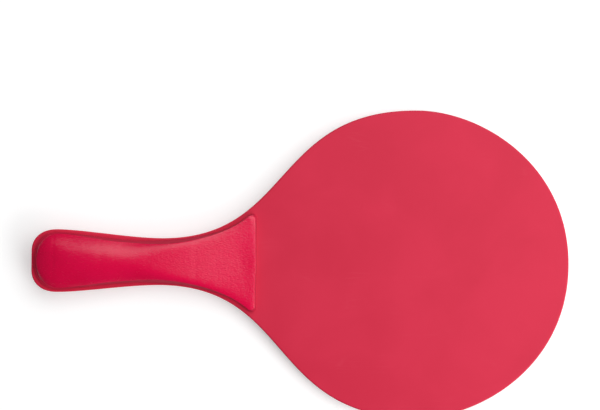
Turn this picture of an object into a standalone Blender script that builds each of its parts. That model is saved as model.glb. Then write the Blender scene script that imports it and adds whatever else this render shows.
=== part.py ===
"""Beach game paddle: one flat plastic blade, its tang clamped between two hollow grip shells.

Metres, +Z up. The origin is the middle of the paddle, on the blade's mid plane. +X runs from
the handle's butt to the tip of the head, and +Z points out of the front hitting face.
"""

import math

import bmesh
import bpy
from mathutils import Matrix, Vector

# Driving dimensions: the blade
OVERALL_LENGTH = 0.330
HEAD_WIDTH = 0.189
HEAD_REACH = 0.0935
SHEET_THICKNESS = 0.004
SHEET_EDGE_ROUND = 0.0012
FACE_LINE_GAP = 0.002

# Driving dimensions: the tang, as widths and as distances from its butt end
TANG_END_FLAT = 0.012
TANG_BUTT_WIDTH = 0.0385
TANG_BUTT_REACH = 0.0155
TANG_WAIST_WIDTH = 0.0288
TANG_WAIST_REACH = 0.079

# Driving dimensions: the grip shells, and the strip of tang that stays bare beside them
GRIP_LENGTH = 0.1366
GRIP_END_BORDER = 0.0016
GRIP_BUTT_BORDER = 0.0016
GRIP_BUTT_REACH = 0.018
GRIP_WAIST_BORDER = 0.0019
GRIP_WAIST_REACH = 0.0685
GRIP_RISE = 0.0084
GRIP_PEAK_REACH = 0.044
GRIP_RIM_HEIGHT = 0.0012
GRIP_RIM_STEP = 0.0009
GRIP_SIDE_DRAFT = 0.0003
GRIP_WALL = 0.0020
GRIP_SIDE_WALL = 0.0024
FAN_BORDER = 0.0047
FAN_CORNER_ROUND = 0.0026
FAN_EDGE_HEIGHT = 0.0036
FAN_EDGE_BAND = 0.0026
FAN_EDGE_DROP = 0.00035

# Driving dimensions: where the rim's step fades and the side walls grow, from the butt end
STEP_FADE_START = 0.016
STEP_FADE_END = 0.040
WAIST_WALL_START = 0.010
WAIST_WALL_END = 0.050
FAN_WALL_START = 0.056
FAN_WALL_END = 0.090

# Driving dimensions: the pins that hold the shells together through the tang
PIN_DIAMETER = 0.005
PIN_LEAD = 0.0005
PIN_ROOT = 0.002
PIN_COUNT = 4
PIN_FIRST_REACH = 0.014
PIN_LAST_SETBACK = 0.037
FAN_PIN_SETBACK = 0.016
FAN_PIN_EDGE = 0.007
BOSS_WALL = 0.0018
RIB_THICKNESS = 0.0015
SOCKET_FLOOR = 0.0018

# Clearances between touching pieces
SEAT_GAP = 0.0003
PIN_CLEARANCE = 0.0003

# Shape factors: how far each curve leaves an anchor, as a share of the span to the next one
END_PULL = 0.50
CORNER_PULL = 0.70
TANG_BUTT_PULL = 0.25
TANG_WAIST_PULL = 0.30
THROAT_WAIST_PULL = 0.52
THROAT_HEAD_PULL = 0.575
HEAD_SIDE_PULL = 0.42
HEAD_TIP_PULL = 0.66
GRIP_END_PULL = 0.70
GRIP_CORNER_PULL = 0.63
GRIP_BUTT_PULL = 0.13
GRIP_WAIST_PULL = 0.38
FAN_WAIST_PULL = 0.49
FAN_CORNER_PULL = 0.18
CROWN_END_LEAD = 0.10
CROWN_END_PULL = 0.45
CROWN_PEAK_PULL = 0.55
CROWN_FALL_PULL = 0.58
CROWN_EDGE_PULL = 0.30

# Shape factors: the cross sections of the shells
STEP_FADED_SHARE = 0.2
WAIST_WALL_SHARE = 0.40
SIDE_WALL_LEAN = 0.38
FAN_WALL_SHARE = 0.80
CROWN_EDGE_SLOPE = 0.76
CROWN_LOW_POWER = 2.0
CROWN_HIGH_POWER = 9.0

# Fineness of the mesh
CORNER_STEPS = 8
TANG_STEPS = 6
THROAT_STEPS = 22
HEAD_STEPS = 20
EDGE_SEGMENTS = 2
GRIP_END_STEPS = 8
GRIP_SIDE_STEPS = 12
FAN_STEPS = 18
FAN_CORNER_STEPS = 4
CROWN_STEPS = 40
DOME_SEGMENTS = 16
CAVITY_SEGMENTS = 13
ROUND_SEGMENTS = 20
SMOOTH_ANGLE = math.radians(35.0)
EDGE_ANGLE = math.radians(60.0)

# Places worked out from the sizes above
BUTT_X = -OVERALL_LENGTH / 2
TIP_X = OVERALL_LENGTH / 2
GRIP_END_X = BUTT_X + GRIP_END_BORDER
FAN_X = GRIP_END_X + GRIP_LENGTH
SEAT_Z = SHEET_THICKNESS / 2 + SEAT_GAP
BOSS_DIAMETER = PIN_DIAMETER + 2 * (PIN_CLEARANCE + BOSS_WALL)
CUT_MARGIN = 0.005

# Colours as linear values
BLADE_RED = (0.604, 0.031, 0.070, 1.0)
GRIP_RED = (0.617, 0.010, 0.046, 1.0)
BLADE_ROUGHNESS = 0.55
GRIP_ROUGHNESS = 0.38


def clear_scene():
    """Remove every object of the scene."""
    for item in list(bpy.data.objects):
        bpy.data.objects.remove(item, do_unlink=True)


def plastic(name, colour, roughness):
    """Return a plain plastic material."""
    material = bpy.data.materials.new(name)
    material.use_nodes = True
    shader = material.node_tree.nodes["Principled BSDF"]
    shader.inputs["Base Color"].default_value = colour
    shader.inputs["Roughness"].default_value = roughness
    shader.inputs["Metallic"].default_value = 0.0
    return material


def add_object(name, mesh_data, parent, material=None):
    """Turn a bmesh into a named object under its parent, and free the bmesh."""
    bmesh.ops.recalc_face_normals(mesh_data, faces=mesh_data.faces)
    mesh = bpy.data.meshes.new(name)
    mesh_data.to_mesh(mesh)
    mesh_data.free()
    item = bpy.data.objects.new(name, mesh)
    bpy.context.scene.collection.objects.link(item)
    item.parent = parent
    if material is None:
        item.hide_render = True
        item.display_type = "WIRE"
    else:
        mesh.materials.append(material)
        mesh.shade_smooth()
        mesh.set_sharp_from_angle(angle=SMOOTH_ANGLE)
    return item


def add_empty(name, parent=None, turn=0.0):
    """Add an empty, turned about X, for other objects to hang on."""
    item = bpy.data.objects.new(name, None)
    bpy.context.scene.collection.objects.link(item)
    item.parent = parent
    item.rotation_euler = (turn, 0.0, 0.0)
    return item


def boolean(item, operation, tool):
    """Join a tool to an object, or cut it away, and keep the modifier live."""
    modifier = item.modifiers.new(tool.name, "BOOLEAN")
    modifier.operation = operation
    modifier.solver = "EXACT"
    modifier.object = tool


def curve(start, start_pull, end_pull, end, steps):
    """Return points along a cubic curve, both ends included."""
    points = []
    for step in range(steps + 1):
        t = step / steps
        u = 1.0 - t
        point = u**3 * start + 3 * u * u * t * start_pull + 3 * u * t * t * end_pull + t**3 * end
        points.append(point)
    return points


def chain(*runs):
    """Join runs of points end to end, without the points that they share."""
    points = list(runs[0])
    for run in runs[1:]:
        points.extend(run[1:])
    return points


def along_x(length):
    """Return a flat vector of that length along X."""
    return Vector((length, 0.0))


def along_y(length):
    """Return a flat vector of that length along Y."""
    return Vector((0.0, length))


def span_at(points, x):
    """Return the two neighbouring points that x lies between."""
    for before, after in zip(points, points[1:]):
        if before.x <= x <= after.x and after.x > before.x:
            return before, after
    return points[-2], points[-1]


def height_at(points, x):
    """Read a line of points, given as x and height, at x."""
    before, after = span_at(points, x)
    return before.y + (after.y - before.y) * (x - before.x) / (after.x - before.x)


def angle_at(points, x):
    """Return the angle of a line of points at x."""
    before, after = span_at(points, x)
    return math.atan2(after.y - before.y, after.x - before.x)


def blade_half_outline():
    """Return the blade's left edge, from the flat of its butt end to the tip of the head."""
    end = Vector((BUTT_X, TANG_END_FLAT / 2))
    butt = Vector((BUTT_X + TANG_BUTT_REACH, TANG_BUTT_WIDTH / 2))
    waist = Vector((BUTT_X + TANG_WAIST_REACH, TANG_WAIST_WIDTH / 2))
    head = Vector((TIP_X - HEAD_REACH, HEAD_WIDTH / 2))
    tip = Vector((TIP_X, 0.0))
    corner_span = butt - end
    tang_span = waist - butt
    throat_span = head - waist
    head_span = tip - head
    corner = curve(end, end + along_y(END_PULL * corner_span.y),
                   butt - along_x(CORNER_PULL * corner_span.x), butt, CORNER_STEPS)
    tang = curve(butt, butt + along_x(TANG_BUTT_PULL * tang_span.x),
                 waist - along_x(TANG_WAIST_PULL * tang_span.x), waist, TANG_STEPS)
    throat = curve(waist, waist + along_x(THROAT_WAIST_PULL * throat_span.x),
                   head - along_x(THROAT_HEAD_PULL * throat_span.x), head, THROAT_STEPS)
    crest = curve(head, head + along_x(HEAD_SIDE_PULL * head_span.x),
                  tip - along_y(HEAD_TIP_PULL * head_span.y), tip, HEAD_STEPS)
    return chain(corner, tang, throat, crest)


def grip_half_outline(blade_edge, inset):
    """Return a shell's left edge, butt to straight front edge, drawn in from the real one."""
    end = Vector((GRIP_END_X + inset, 0.0))
    butt_x = BUTT_X + GRIP_BUTT_REACH
    butt = Vector((butt_x, height_at(blade_edge, butt_x) - GRIP_BUTT_BORDER - inset))
    waist_x = BUTT_X + GRIP_WAIST_REACH
    waist = Vector((waist_x, height_at(blade_edge, waist_x) - GRIP_WAIST_BORDER - inset))
    corner_x = FAN_X - FAN_CORNER_ROUND
    flare = angle_at(blade_edge, corner_x)
    side = height_at(blade_edge, corner_x) - FAN_BORDER - inset / math.cos(flare)
    centre = Vector((corner_x - inset, side - FAN_CORNER_ROUND))
    corner = []
    for step in range(FAN_CORNER_STEPS + 1):
        angle = (math.pi / 2 + flare) * (1.0 - step / FAN_CORNER_STEPS)
        corner.append(centre + FAN_CORNER_ROUND * Vector((math.cos(angle), math.sin(angle))))
    butt_span = butt - end
    side_span = waist - butt
    fan_span = corner[0] - waist
    flare_pull = FAN_CORNER_PULL * fan_span.x * Vector((1.0, math.tan(flare)))
    round_end = curve(end, end + along_y(GRIP_END_PULL * butt_span.y),
                      butt - along_x(GRIP_CORNER_PULL * butt_span.x), butt, GRIP_END_STEPS)
    handle = curve(butt, butt + along_x(GRIP_BUTT_PULL * side_span.x),
                   waist - along_x(GRIP_WAIST_PULL * side_span.x), waist, GRIP_SIDE_STEPS)
    fan = curve(waist, waist + along_x(FAN_WAIST_PULL * fan_span.x),
                corner[0] - flare_pull, corner[0], FAN_STEPS)
    return chain(round_end, handle, fan, corner)[1:]


def crown_line():
    """Return the shell's ridge, as x and height above its seat, without the edge's rounding."""
    end = Vector((GRIP_END_X, GRIP_RIM_HEIGHT))
    peak = Vector((BUTT_X + GRIP_PEAK_REACH, GRIP_RISE))
    edge = Vector((FAN_X, FAN_EDGE_HEIGHT))
    rise_span = peak - end
    fall_span = edge - peak
    end_pull = Vector((CROWN_END_LEAD * rise_span.x, CROWN_END_PULL * rise_span.y))
    rise = curve(end, end + end_pull,
                 peak - along_x(CROWN_PEAK_PULL * rise_span.x), peak, CROWN_STEPS)
    fall = curve(peak, peak + along_x(CROWN_FALL_PULL * fall_span.x),
                 edge - along_x(CROWN_EDGE_PULL * fall_span.x), edge, CROWN_STEPS)
    return chain(rise, fall)


def ridge_height(crown, x):
    """Return the height of the shell's ridge at x, with the straight edge rounded over."""
    past = max(0.0, 1.0 - (FAN_X - x) / FAN_EDGE_BAND)
    drop = FAN_EDGE_DROP * (1.0 - math.sqrt(max(0.0, 1.0 - past * past)))
    return height_at(crown, x) - drop


def eased(x, start_reach, end_reach):
    """Ease from 0 to 1 along the handle, between two distances from its butt end."""
    share = (x - BUTT_X - start_reach) / (end_reach - start_reach)
    share = min(1.0, max(0.0, share))
    return share * share * (3.0 - 2.0 * share)


def rim_step(x, half_width):
    """Return how far the dome stands in from the shell's edge at x: most at the butt."""
    faded = (1.0 - STEP_FADED_SHARE) * eased(x, STEP_FADE_START, STEP_FADE_END)
    return min(GRIP_RIM_STEP * (1.0 - faded), half_width / 2)


def wall_share(x):
    """Return how much of a section's rise is steep side wall at x: none at the butt."""
    at_waist = WAIST_WALL_SHARE * eased(x, WAIST_WALL_START, WAIST_WALL_END)
    at_fan = (FAN_WALL_SHARE - WAIST_WALL_SHARE) * eased(x, FAN_WALL_START, FAN_WALL_END)
    return at_waist + at_fan


def wall_draft(x, top):
    """Return how far a side wall leans in from its foot to its top at x: more where it is taller."""
    return GRIP_SIDE_DRAFT + SIDE_WALL_LEAN * wall_share(x) * (top - GRIP_RIM_HEIGHT)


def crown_power(half_width, rise):
    """Return how flat a crown is across, so that it meets its walls at a steady slope."""
    if rise * CROWN_HIGH_POWER <= CROWN_EDGE_SLOPE * half_width:
        return CROWN_HIGH_POWER
    return max(CROWN_LOW_POWER, CROWN_EDGE_SLOPE * half_width / rise)


def dome_height(crown, edge, x, y):
    """Return the height of the shell's outside above its seat, at a point of its plan."""
    edge_width = height_at(edge, x)
    top = ridge_height(crown, x)
    half_width = edge_width - rim_step(x, edge_width) - wall_draft(x, top)
    base = GRIP_RIM_HEIGHT + wall_share(x) * (top - GRIP_RIM_HEIGHT)
    power = crown_power(half_width, top - base)
    return base + (top - base) * (1.0 - abs(y / half_width) ** power)


def crown_section(x, half_width, base, top, segments):
    """Return the points of one cross section's crown, from the left edge to the right one."""
    power = crown_power(half_width, top - base)
    points = []
    for step in range(segments + 1):
        across = math.cos(math.pi * step / segments)
        height = base + (top - base) * (1.0 - abs(across) ** power)
        points.append(Vector((x, half_width * across, height)))
    return points


def loft(sections):
    """Skin a row of closed cross sections, with a flat cap at both ends."""
    mesh_data = bmesh.new()
    loops = [[mesh_data.verts.new(point) for point in section] for section in sections]
    for first, second in zip(loops, loops[1:]):
        for index in range(len(first)):
            following = (index + 1) % len(first)
            mesh_data.faces.new((first[index], first[following], second[following], second[index]))
    mesh_data.faces.new(loops[0])
    mesh_data.faces.new(loops[-1])
    return mesh_data


def shell_body(crown, edge):
    """Return the outside of a shell as a solid: a low rim, a step, steep walls and the crown."""
    sections = []
    rim_z = SEAT_Z + GRIP_RIM_HEIGHT
    for point in edge:
        top = SEAT_Z + max(GRIP_RIM_HEIGHT, ridge_height(crown, point.x))
        base = rim_z + wall_share(point.x) * (top - rim_z)
        foot = point.y - rim_step(point.x, point.y)
        half_width = foot - min(wall_draft(point.x, top - SEAT_Z), foot / 2)
        outer_line = [(point.y, SEAT_Z), (point.y, rim_z), (foot, rim_z)]
        left = [Vector((point.x, y, z)) for y, z in outer_line]
        right = [Vector((point.x, -y, z)) for y, z in reversed(outer_line)]
        dome = crown_section(point.x, half_width, base, top, DOME_SEGMENTS)
        sections.append(left + dome + right)
    return loft(sections)


def cavity_body(crown, edge):
    """Return the hollow of a shell, open towards the tang."""
    sections = []
    for point in edge:
        floor = SEAT_Z - CUT_MARGIN
        behind = ridge_height(crown, point.x - GRIP_WALL)
        ahead = ridge_height(crown, point.x + GRIP_WALL)
        top = min(behind, ahead) - GRIP_WALL
        base = wall_share(point.x) * max(0.0, top)
        left = [Vector((point.x, point.y, floor))]
        right = [Vector((point.x, -point.y, floor))]
        roof = crown_section(point.x, point.y, SEAT_Z + base, SEAT_Z + top, CAVITY_SEGMENTS)
        sections.append(left + roof + right)
    return loft(sections)


def row_places():
    """Return where the row of pins stands on the centre line, evenly spread over the grip."""
    first_x = BUTT_X + PIN_FIRST_REACH
    pitch = (FAN_X - PIN_LAST_SETBACK - first_x) / (PIN_COUNT - 1)
    return [Vector((first_x + index * pitch, 0.0)) for index in range(PIN_COUNT)]


def pin_places(edge):
    """Return where every pin stands: the row, and a pair near the sides of the fan."""
    fan_x = FAN_X - FAN_PIN_SETBACK
    fan_y = height_at(edge, fan_x) - FAN_PIN_EDGE
    return row_places() + [Vector((fan_x, -fan_y)), Vector((fan_x, fan_y))]


def add_rod(mesh_data, place, diameter, low, high):
    """Add an upright round rod, a flat and not a corner on its axes, and return its vertices."""
    middle = Matrix.Translation((place.x, place.y, (low + high) / 2))
    half_side = Matrix.Rotation(math.pi / ROUND_SEGMENTS, 4, "Z")
    made = bmesh.ops.create_cone(mesh_data, cap_ends=True, segments=ROUND_SEGMENTS,
                                 radius1=diameter / 2, radius2=diameter / 2,
                                 depth=high - low, matrix=middle @ half_side)
    return made["verts"]


def add_rib(mesh_data, x):
    """Add a cross rib, wider and taller than the shell, which the hollow's shape trims."""
    size = Vector((RIB_THICKNESS, HEAD_WIDTH, 2 * (GRIP_RISE + CUT_MARGIN + SEAT_Z)))
    place = Matrix.Translation((x, 0.0, SEAT_Z)) @ Matrix.Diagonal(size.to_4d())
    bmesh.ops.create_cube(mesh_data, size=1.0, matrix=place)


def socket_depths(crown, edge):
    """Return how deep each pin's socket goes into a shell, leaving a floor under the dome."""
    depths = []
    for place in pin_places(edge):
        depths.append((place, dome_height(crown, edge, place.x, place.y) - SOCKET_FLOOR))
    return depths


def build_hollow(name, parent, crown, edge, inner_edge):
    """Build the cutter for a shell's hollow, with bosses and cross ribs left standing in it."""
    ribs = bmesh.new()
    for place in row_places():
        add_rib(ribs, place.x)
    bosses = bmesh.new()
    for place in pin_places(edge):
        add_rod(bosses, place, BOSS_DIAMETER, SEAT_Z - 2 * CUT_MARGIN, SEAT_Z + GRIP_RISE + CUT_MARGIN)
    hollow = add_object(name + "_hollow", cavity_body(crown, inner_edge), parent)
    boolean(hollow, "DIFFERENCE", add_object(name + "_rib_shapes", ribs, parent))
    boolean(hollow, "DIFFERENCE", add_object(name + "_boss_shapes", bosses, parent))
    return hollow


def build_blade(parent, blade_edge, grip_edge):
    """Build the blade and its tang from one sheet, with a hole for every pin."""
    sheet = bmesh.new()
    low_z = -SHEET_THICKNESS / 2
    left = [Vector((point.x, point.y, low_z)) for point in blade_edge]
    right = [Vector((point.x, -point.y, low_z)) for point in reversed(blade_edge[:-1])]
    face = sheet.faces.new([sheet.verts.new(point) for point in left + right])
    raised = bmesh.ops.extrude_face_region(sheet, geom=[face], use_keep_orig=True)
    lifted = [item for item in raised["geom"] if isinstance(item, bmesh.types.BMVert)]
    bmesh.ops.translate(sheet, verts=lifted, vec=(0.0, 0.0, SHEET_THICKNESS))
    every_part = sheet.verts[:] + sheet.edges[:] + sheet.faces[:]
    face_line = (FAN_X + FACE_LINE_GAP, 0.0, 0.0)
    bmesh.ops.bisect_plane(sheet, geom=every_part, plane_co=face_line, plane_no=(1.0, 0.0, 0.0))
    blade = add_object("blade", sheet, parent, plastic("matte_red_plastic", BLADE_RED, BLADE_ROUGHNESS))
    rounding = blade.modifiers.new("rounded_edge", "BEVEL")
    rounding.width = SHEET_EDGE_ROUND
    rounding.segments = EDGE_SEGMENTS
    rounding.limit_method = "ANGLE"
    rounding.angle_limit = EDGE_ANGLE
    holes = bmesh.new()
    for place in pin_places(grip_edge):
        add_rod(holes, place, PIN_DIAMETER + 2 * PIN_CLEARANCE, low_z - CUT_MARGIN, CUT_MARGIN - low_z)
    boolean(blade, "DIFFERENCE", add_object("pin_holes", holes, parent))


def build_front_grip(parent, crown, edge, inner_edge):
    """Build the front shell, whose pins reach through the tang into the rear shell."""
    material = plastic("satin_red_plastic_front", GRIP_RED, GRIP_ROUGHNESS)
    grip = add_object("front_grip", shell_body(crown, edge), parent, material)
    boolean(grip, "DIFFERENCE", build_hollow("front", parent, crown, edge, inner_edge))
    pins = bmesh.new()
    for place, depth in socket_depths(crown, edge):
        tip_z = PIN_CLEARANCE - SEAT_Z - depth
        rod = add_rod(pins, place, PIN_DIAMETER, tip_z, SEAT_Z + PIN_ROOT)
        tip = [vertex for vertex in rod if vertex.co.z < 0.0]
        rim = [link for link in pins.edges if link.verts[0] in tip and link.verts[1] in tip]
        bmesh.ops.bevel(pins, geom=rim, offset=PIN_LEAD, segments=1, affect="EDGES")
    boolean(grip, "UNION", add_object("pin_shapes", pins, parent))


def build_rear_grip(parent, crown, edge, inner_edge):
    """Build the rear shell, turned over, with a socket for every pin."""
    material = plastic("satin_red_plastic_rear", GRIP_RED, GRIP_ROUGHNESS)
    grip = add_object("rear_grip", shell_body(crown, edge), parent, material)
    bores = bmesh.new()
    for place, depth in socket_depths(crown, edge):
        add_rod(bores, place, PIN_DIAMETER + 2 * PIN_CLEARANCE, SEAT_Z - CUT_MARGIN, SEAT_Z + depth)
    boolean(grip, "DIFFERENCE", add_object("socket_bores", bores, parent))
    boolean(grip, "DIFFERENCE", build_hollow("rear", parent, crown, edge, inner_edge))


def main():
    """Build the whole paddle."""
    clear_scene()
    paddle = add_empty("paddle_middle")
    rear_side = add_empty("rear_side", paddle, math.pi)
    blade_edge = blade_half_outline()
    edge = grip_half_outline(blade_edge, 0.0)
    inner_edge = grip_half_outline(blade_edge, GRIP_SIDE_WALL)
    crown = crown_line()
    build_blade(paddle, blade_edge, edge)
    build_front_grip(paddle, crown, edge, inner_edge)
    build_rear_grip(rear_side, crown, edge, inner_edge)


main()
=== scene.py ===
"""Looks of the beach game paddle: a matte red blade with two satin red grip shells on its tang.

Metres, +Z up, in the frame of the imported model: +X runs from the butt of the handle to the tip
of the head, and +Z points out of the front hitting face. The blade and the shells are modelled
anew as fine meshes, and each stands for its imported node.
"""

import logging
import math
from dataclasses import dataclass, field
from enum import Enum
from functools import cached_property

import bmesh
import bpy
import numpy as np
from mathutils import Matrix, Vector
from mathutils.kdtree import KDTree

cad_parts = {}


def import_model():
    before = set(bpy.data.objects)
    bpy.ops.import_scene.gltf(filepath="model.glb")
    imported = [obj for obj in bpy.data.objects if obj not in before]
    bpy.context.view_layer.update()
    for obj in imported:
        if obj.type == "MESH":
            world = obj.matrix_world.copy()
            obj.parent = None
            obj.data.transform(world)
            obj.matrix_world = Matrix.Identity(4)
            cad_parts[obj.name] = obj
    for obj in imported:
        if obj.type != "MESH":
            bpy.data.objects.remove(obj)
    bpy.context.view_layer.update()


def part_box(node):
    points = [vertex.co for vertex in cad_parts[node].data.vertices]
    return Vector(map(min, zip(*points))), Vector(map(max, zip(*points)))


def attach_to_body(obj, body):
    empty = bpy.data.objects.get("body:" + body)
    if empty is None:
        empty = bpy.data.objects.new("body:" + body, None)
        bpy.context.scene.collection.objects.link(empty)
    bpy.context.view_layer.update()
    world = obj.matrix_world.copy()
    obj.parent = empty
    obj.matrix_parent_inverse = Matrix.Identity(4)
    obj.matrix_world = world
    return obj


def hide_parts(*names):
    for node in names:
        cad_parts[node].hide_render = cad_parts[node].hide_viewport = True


LOG = logging.getLogger("paddle")
BODY = "root"
SEAT_GAP = 0.0003
MERGE_DISTANCE = 2.0e-6
LEAST_DIVISOR = 1.0e-6
HALF_TURN = Matrix.Diagonal((1.0, -1.0, -1.0, 1.0))
# Mesh attribute for the grips' matte rim and walls, which their material also paints darker as
# shade.
MATTE_AND_SHADE = "matte"
WHITE = (1.0, 1.0, 1.0, 1.0)

Colour = tuple[float, float, float, float]
Span = tuple[float, float]
Piece = bpy.types.Object
Material = bpy.types.Material
Socket = bpy.types.NodeSocket


class Side(Enum):
    """Face of the tang that a grip shell sits on; the value is the sign of its height."""

    FRONT = 1.0
    REAR = -1.0


class Slot(Enum):
    """Names of the material slots for the blade's and the grips' finishes."""

    BLADE = "blade_plastic"
    GRIP = "grip_plastic"


def curve(
    start: np.ndarray, end: np.ndarray, leave: Span, arrive: Span, steps: int
) -> np.ndarray:
    """Draw a cubic curve between two points.

    Args:
        start: First point.
        end: Last point.
        leave: How far it heads out of the first point, as shares of the span along each axis.
        arrive: How far it heads into the last point, as shares of the span along each axis.
        steps: Number of straight steps along the curve.

    Returns:
        Points along the curve, both ends included, one per row.
    """
    span = end - start
    away, home = start + span * leave, end - span * arrive
    t = np.linspace(0.0, 1.0, steps + 1)[:, None]
    u = 1.0 - t
    return u**3 * start + 3 * u * u * t * away + 3 * u * t * t * home + t**3 * end


def chain(*runs: np.ndarray) -> np.ndarray:
    """Join runs of points end to end, without the points that they share."""
    return np.vstack([runs[0]] + [run[1:] for run in runs[1:]])


def spaced(line: np.ndarray, count: int) -> np.ndarray:
    """Spread points evenly along a line.

    Args:
        line: Points of the line, one per row.
        count: Number of equal steps wanted.

    Returns:
        The new points, both ends included.
    """
    steps = np.hypot(*np.diff(line, axis=0).T)
    reach = np.concatenate(([0.0], np.cumsum(steps)))
    places = np.linspace(0.0, reach[-1], count + 1)
    return np.column_stack([np.interp(places, reach, line[:, axis]) for axis in (0, 1)])


def closed(half: np.ndarray) -> np.ndarray:
    """Close a left half edge, which starts and ends on the centre line, with its mirror image."""
    return np.vstack((half, half[-2:0:-1] * (1.0, -1.0)))


def lifted(line: np.ndarray, height: float | np.ndarray) -> np.ndarray:
    """Give the points of a plan a height."""
    return np.column_stack((line, np.broadcast_to(height, len(line))))


def quarter_turn(count: int) -> np.ndarray:
    """Return evenly spaced angles from nothing to a right angle."""
    return np.linspace(0.0, math.pi / 2, count)


def smooth_share(value: np.ndarray, low: float, high: float) -> np.ndarray:
    """Ease from 0 at low to 1 at high, flat at both ends."""
    share = np.clip((value - low) / (high - low), 0.0, 1.0)
    return share * share * (3.0 - 2.0 * share)


def nearest_on(outline: np.ndarray, points: np.ndarray) -> tuple[np.ndarray, np.ndarray]:
    """Find the nearest place of a closed outline to each point of the plan.

    Args:
        outline: Corners of the outline in order, one per row.
        points: Points of the plan, one per row.

    Returns:
        The distance to the outline, and the x of the nearest place on it, for each point.
    """
    steps = np.roll(outline, -1, axis=0) - outline
    offsets = points[:, None, :] - outline[None, :, :]
    shares = np.clip((offsets * steps).sum(axis=2) / (steps**2).sum(axis=1), 0.0, 1.0)
    gaps = np.hypot(*np.moveaxis(offsets - shares[:, :, None] * steps, 2, 0))
    best = gaps.argmin(axis=1)
    rows = np.arange(len(points))
    return gaps[rows, best], outline[best, 0] + shares[rows, best] * steps[best, 0]


@dataclass(frozen=True)
class BladePlan:
    """Plan of the blade: the outline of its head, throat and tang.

    The pulls say how far each curve leaves its first anchor and arrives at its last one, as
    shares of the span between them.
    """

    length: float
    head_width: float
    head_reach: float = 0.0935
    end_flat: float = 0.012
    butt_width: float = 0.0385
    butt_reach: float = 0.0155
    waist_width: float = 0.0288
    waist_reach: float = 0.079
    end_pulls: Span = (0.50, 0.70)
    tang_pulls: Span = (0.25, 0.30)
    throat_pulls: Span = (0.52, 0.575)
    head_pulls: Span = (0.42, 0.66)
    curve_steps: int = 240
    flare_step: float = 0.0005

    @property
    def butt_x(self) -> float:
        """Place of the butt end."""
        return -self.length / 2

    def half_edge(self) -> np.ndarray:
        """Draw the left edge, from the flat of the butt end to the tip of the head.

        Returns:
            Points of the edge, one per row.
        """
        tip_x = self.length / 2
        end = np.array((self.butt_x, self.end_flat / 2))
        butt = np.array((self.butt_x + self.butt_reach, self.butt_width / 2))
        waist = np.array((self.butt_x + self.waist_reach, self.waist_width / 2))
        head = np.array((tip_x - self.head_reach, self.head_width / 2))
        tip = np.array((tip_x, 0.0))
        steps = self.curve_steps
        return chain(
            curve(end, butt, (0.0, self.end_pulls[0]), (self.end_pulls[1], 0.0), steps),
            curve(butt, waist, (self.tang_pulls[0], 0.0), (self.tang_pulls[1], 0.0), steps),
            curve(waist, head, (self.throat_pulls[0], 0.0), (self.throat_pulls[1], 0.0), steps),
            curve(head, tip, (self.head_pulls[0], 0.0), (0.0, self.head_pulls[1]), steps),
        )

    def half_width(self, x: float) -> float:
        """Return the distance from the centre line to the edge at x."""
        edge = self.half_edge()
        return float(np.interp(x, edge[:, 0], edge[:, 1]))

    def flare(self, x: float) -> float:
        """Return the angle in radians between the edge and the centre line at x."""
        before, after = (self.half_width(x + step) for step in (-self.flare_step, self.flare_step))
        return math.atan2(after - before, 2 * self.flare_step)


@dataclass(frozen=True)
class GripPlan:
    """Plan of a grip shell, drawn in from the blade's edge by the borders of bare tang."""

    blade: BladePlan
    end_x: float
    fan_x: float
    butt_border: float = 0.0016
    butt_reach: float = 0.018
    waist_border: float = 0.0019
    waist_reach: float = 0.0685
    fan_border: float = 0.0047
    corner_round: float = 0.0026
    end_pulls: Span = (0.70, 0.63)
    side_pulls: Span = (0.13, 0.38)
    fan_pulls: Span = (0.49, 0.18)
    end_steps: int = 44
    side_steps: int = 52
    fan_steps: int = 64
    corner_steps: int = 12
    edge_steps: int = 34

    def half_edge(self, inset: float) -> np.ndarray:
        """Draw a shell's left edge, from the butt to the middle of the straight front edge.

        Args:
            inset: How far the line is drawn in from the real edge.

        Returns:
            Points of the line, as many for every inset.
        """
        blade = self.blade
        end = np.array((self.end_x + inset, 0.0))
        butt_x = blade.butt_x + self.butt_reach
        butt = np.array((butt_x, blade.half_width(butt_x) - self.butt_border - inset))
        waist_x = blade.butt_x + self.waist_reach
        waist = np.array((waist_x, blade.half_width(waist_x) - self.waist_border - inset))
        corner_x = self.fan_x - self.corner_round
        flare = blade.flare(corner_x)
        side_y = blade.half_width(corner_x) - self.fan_border - inset / math.cos(flare)
        centre = np.array((corner_x - inset, side_y - self.corner_round))
        turn = np.linspace(math.pi / 2 + flare, 0.0, self.corner_steps + 1)
        corner = centre + self.corner_round * np.column_stack((np.cos(turn), np.sin(turn)))
        edge_y = np.linspace(corner[-1][1], 0.0, self.edge_steps + 1)
        edge = np.column_stack((np.full_like(edge_y, corner[-1][0]), edge_y))
        (leave_end, reach_butt), (leave_butt, reach_waist) = self.end_pulls, self.side_pulls
        leave_waist, reach_fan = self.fan_pulls
        fan_span = corner[0] - waist
        flare_pull = (reach_fan, reach_fan * math.tan(flare) * fan_span[0] / fan_span[1])
        return chain(
            curve(end, butt, (0.0, leave_end), (reach_butt, 0.0), self.end_steps),
            curve(butt, waist, (leave_butt, 0.0), (reach_waist, 0.0), self.side_steps),
            curve(waist, corner[0], (leave_waist, 0.0), flare_pull, self.fan_steps),
            corner,
            edge,
        )


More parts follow.
